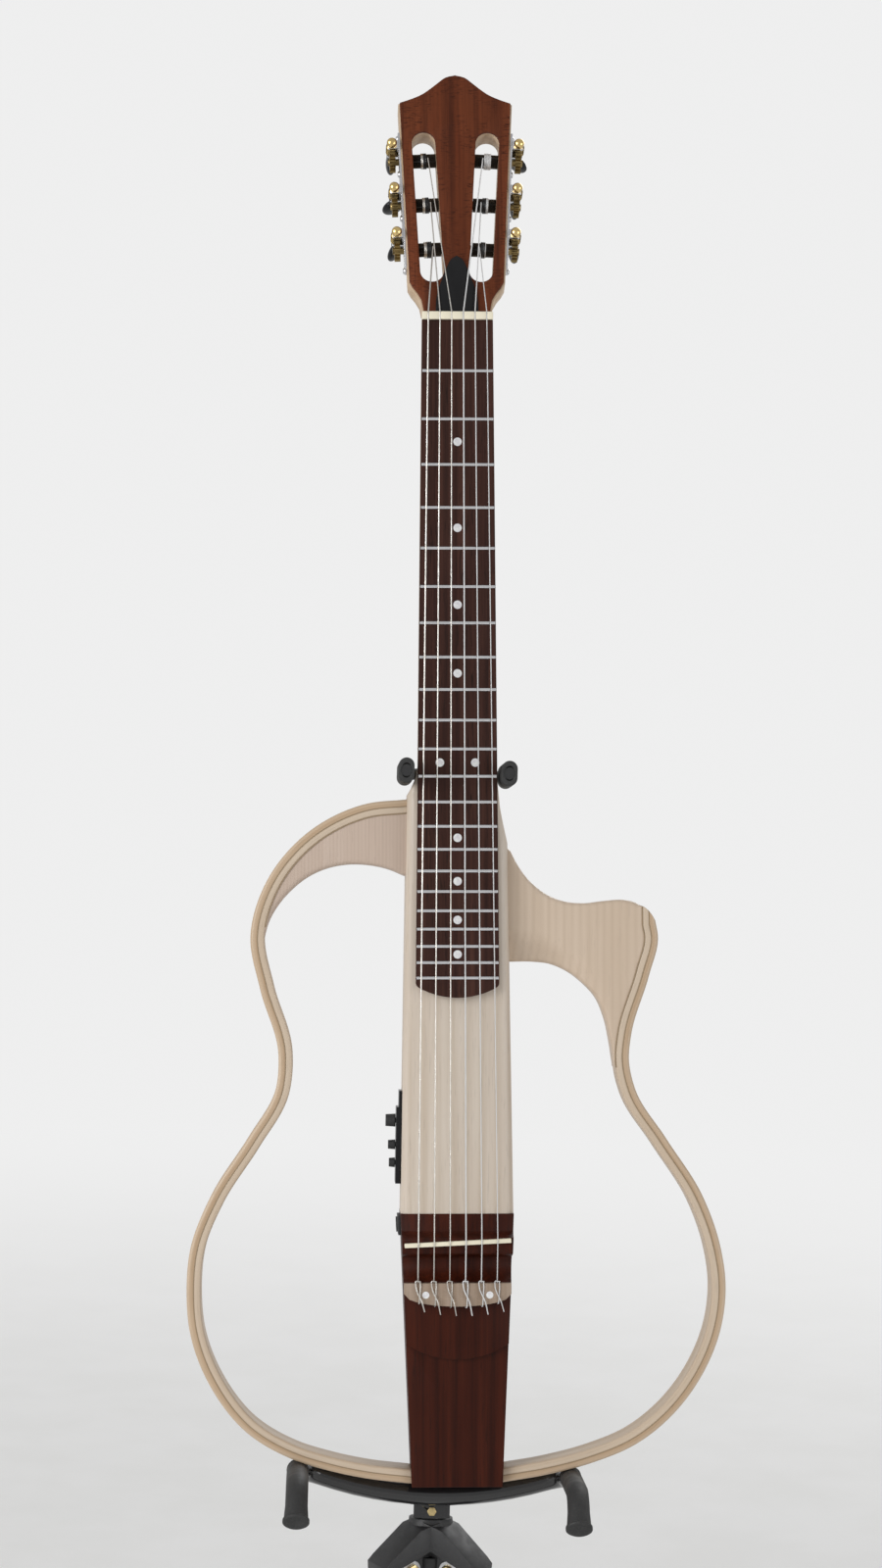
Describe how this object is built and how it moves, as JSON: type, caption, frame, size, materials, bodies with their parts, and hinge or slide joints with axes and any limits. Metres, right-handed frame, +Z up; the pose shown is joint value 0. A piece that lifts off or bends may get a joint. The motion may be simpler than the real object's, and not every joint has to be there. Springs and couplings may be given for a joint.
{
  "type": "guitar on stand",
  "caption": "Skeleton-body classical guitar with meshing worm tuners, resting on a folding black tripod guitar stand.",
  "frame": {"origin": "on the floor, under the middle of the whole object's box", "axes": "+X to the right seen from the front, +Y to the back, +Z up"},
  "size_m": [0.6838, 0.5947, 1.2204],
  "materials": {
    "maple": "satin",
    "rim_wood": "satin",
    "redwood_veneer": "satin",
    "rosewood": "satin",
    "fret_wire": "polished",
    "pearl": "gloss",
    "bone": "satin",
    "gloss_black": "gloss",
    "nickel": "polished",
    "gilt": "polished",
    "roller_black": "satin",
    "wound_string": "satin",
    "nylon_string": "gloss",
    "moulded_black": "satin",
    "black_paint": "gloss",
    "rubber": "matte",
    "zinc_bolts": "satin"
  },
  "bodies": {
    "stand": {"hub": "moulded_black", "mast_tube": "black_paint", "cradle_yoke": "black_paint", "cradle_sleeves": "rubber", "cradle_caps": "rubber", "stand_bolts": "zinc_bolts", "clamp_collar": "moulded_black"},
    "guitar": {"neck": "maple", "headstock": "maple", "headstock_veneer": "redwood_veneer", "fretboard": "rosewood", "frets": "fret_wire", "inlay_dots": "pearl", "nut": "bone", "truss_rod_cover": "gloss_black", "tuner_plates": "nickel", "tuner_screws": "nickel", "centre_beam": "maple", "left_wing": "maple", "right_wing": "maple", "rim_outer_ply": "rim_wood", "rim_inner_ply": "rim_wood", "tail_block": "redwood_veneer", "saddle": "bone", "tie_block": "maple", "bass_strings": "wound_string", "treble_strings": "nylon_string", "preamp_panel": "gloss_black", "output_jack": "gloss_black"},
    "neck_post": {"neck_post": "black_paint", "neck_rest_yoke": "black_paint", "neck_rest_sleeves": "rubber"},
    "clamp_knob": {"clamp_knob": "moulded_black"},
    "leg_left": {"leg_left": "black_paint", "foot_left": "rubber"},
    "leg_right": {"leg_right": "black_paint", "foot_right": "rubber"},
    "leg_rear": {"leg_rear": "black_paint", "foot_rear": "rubber"},
    "tuner_1": {"worm_1": "gilt", "button_1": "gloss_black"},
    "winder_1": {"roller_1": "roller_black"},
    "tuner_2": {"worm_2": "gilt", "button_2": "gloss_black"},
    "winder_2": {"roller_2": "roller_black"},
    "tuner_3": {"worm_3": "gilt", "button_3": "gloss_black"},
    "winder_3": {"roller_3": "roller_black"},
    "tuner_4": {"worm_4": "gilt", "button_4": "gloss_black"},
    "winder_4": {"roller_4": "roller_black"},
    "tuner_5": {"worm_5": "gilt", "button_5": "gloss_black"},
    "winder_5": {"roller_5": "roller_black"},
    "tuner_6": {"worm_6": "gilt", "button_6": "gloss_black"},
    "winder_6": {"roller_6": "roller_black"},
    "volume_control": {"volume_knob": "gloss_black"},
    "bass_control": {"bass_knob": "gloss_black"},
    "treble_control": {"treble_knob": "gloss_black"}
  },
  "joints": [
    {"name": "leg_left_fold", "type": "hinge", "parent": "stand", "child": "leg_left", "pos_m": [-0.01559, -0.105, 0.15], "axis": [0.5, -0.866, 0], "range_deg": [0, 62]},
    {"name": "leg_right_fold", "type": "hinge", "parent": "stand", "child": "leg_right", "pos_m": [0.01559, -0.105, 0.15], "axis": [0.5, 0.866, 0], "range_deg": [0, 62]},
    {"name": "leg_rear_fold", "type": "hinge", "parent": "stand", "child": "leg_rear", "pos_m": [0, -0.078, 0.15], "axis": [-1, 0, 0], "range_deg": [0, 62]},
    {"name": "neck_post_slide", "type": "slide", "parent": "stand", "child": "neck_post", "axis": [0, 0.1392, 0.9903], "range_m": [0, 0.1]},
    {"name": "clamp_knob_turn", "type": "hinge", "parent": "stand", "child": "clamp_knob", "pos_m": [0, -0.0084, 0.55778], "axis": [0, 0.9903, -0.1392], "range_deg": [0, 360]},
    {"name": "guitar_lift", "type": "slide", "parent": "stand", "child": "guitar", "axis": [0, -0.9903, 0.1392], "range_m": [0, 0.15]},
    {"name": "tuner_1_spin", "type": "hinge", "parent": "guitar", "child": "tuner_1", "pos_m": [-0.05502, -0.00242, 1.10028], "axis": [0.0065, 0.9397, -0.3419], "continuous": true},
    {"name": "roller_1_spin", "type": "hinge", "parent": "guitar", "child": "winder_1", "pos_m": [-0.04802, -0.00588, 1.09091], "axis": [-0.997, -0.0204, -0.0751], "continuous": true},
    {"name": "tuner_2_spin", "type": "hinge", "parent": "guitar", "child": "tuner_2", "pos_m": [-0.05769, 0.00934, 1.13254], "axis": [0.0065, 0.9397, -0.3419], "continuous": true},
    {"name": "roller_2_spin", "type": "hinge", "parent": "guitar", "child": "winder_2", "pos_m": [-0.05069, 0.00588, 1.12317], "axis": [-0.997, -0.0204, -0.0751], "continuous": true},
    {"name": "tuner_3_spin", "type": "hinge", "parent": "guitar", "child": "tuner_3", "pos_m": [-0.06036, 0.0211, 1.1648], "axis": [0.0065, 0.9397, -0.3419], "continuous": true},
    {"name": "roller_3_spin", "type": "hinge", "parent": "guitar", "child": "winder_3", "pos_m": [-0.05336, 0.01764, 1.15543], "axis": [-0.997, -0.0204, -0.0751], "continuous": true},
    {"name": "tuner_4_spin", "type": "hinge", "parent": "guitar", "child": "tuner_4", "pos_m": [0.03049, -0.00204, 1.10294], "axis": [0.0065, 0.9397, -0.3419], "continuous": true},
    {"name": "roller_4_spin", "type": "hinge", "parent": "guitar", "child": "winder_4", "pos_m": [0.02412, -0.00556, 1.09316], "axis": [0.9998, -0.0117, -0.013], "continuous": true},
    {"name": "tuner_5_spin", "type": "hinge", "parent": "guitar", "child": "tuner_5", "pos_m": [0.03105, 0.00973, 1.1353], "axis": [0.0065, 0.9397, -0.3419], "continuous": true},
    {"name": "roller_5_spin", "type": "hinge", "parent": "guitar", "child": "winder_5", "pos_m": [0.02468, 0.00621, 1.12552], "axis": [0.9998, -0.0117, -0.013], "continuous": true},
    {"name": "tuner_6_spin", "type": "hinge", "parent": "guitar", "child": "tuner_6", "pos_m": [0.0316, 0.0215, 1.16766], "axis": [0.0065, 0.9397, -0.3419], "continuous": true},
    {"name": "roller_6_spin", "type": "hinge", "parent": "guitar", "child": "winder_6", "pos_m": [0.02523, 0.01798, 1.15787], "axis": [0.9998, -0.0117, -0.013], "continuous": true},
    {"name": "volume_turn", "type": "hinge", "parent": "guitar", "child": "volume_control", "pos_m": [-0.03536, -0.09394, 0.47365], "axis": [-0.9999, -0.0023, -0.0161], "range_deg": [-140, 140]},
    {"name": "bass_turn", "type": "hinge", "parent": "guitar", "child": "bass_control", "pos_m": [-0.03508, -0.09633, 0.45662], "axis": [-0.9999, -0.0023, -0.0161], "range_deg": [-140, 140]},
    {"name": "treble_turn", "type": "hinge", "parent": "guitar", "child": "treble_control", "pos_m": [-0.03487, -0.0981, 0.44405], "axis": [-0.9999, -0.0023, -0.0161], "range_deg": [-140, 140]}
  ],
  "couplings": [
    {"joint": "roller_1_spin", "follows": "tuner_1_spin", "ratio": 0.071429},
    {"joint": "roller_2_spin", "follows": "tuner_2_spin", "ratio": 0.071429},
    {"joint": "roller_3_spin", "follows": "tuner_3_spin", "ratio": 0.071429},
    {"joint": "roller_4_spin", "follows": "tuner_4_spin", "ratio": 0.071429},
    {"joint": "roller_5_spin", "follows": "tuner_5_spin", "ratio": 0.071429},
    {"joint": "roller_6_spin", "follows": "tuner_6_spin", "ratio": 0.071429}
  ]
}
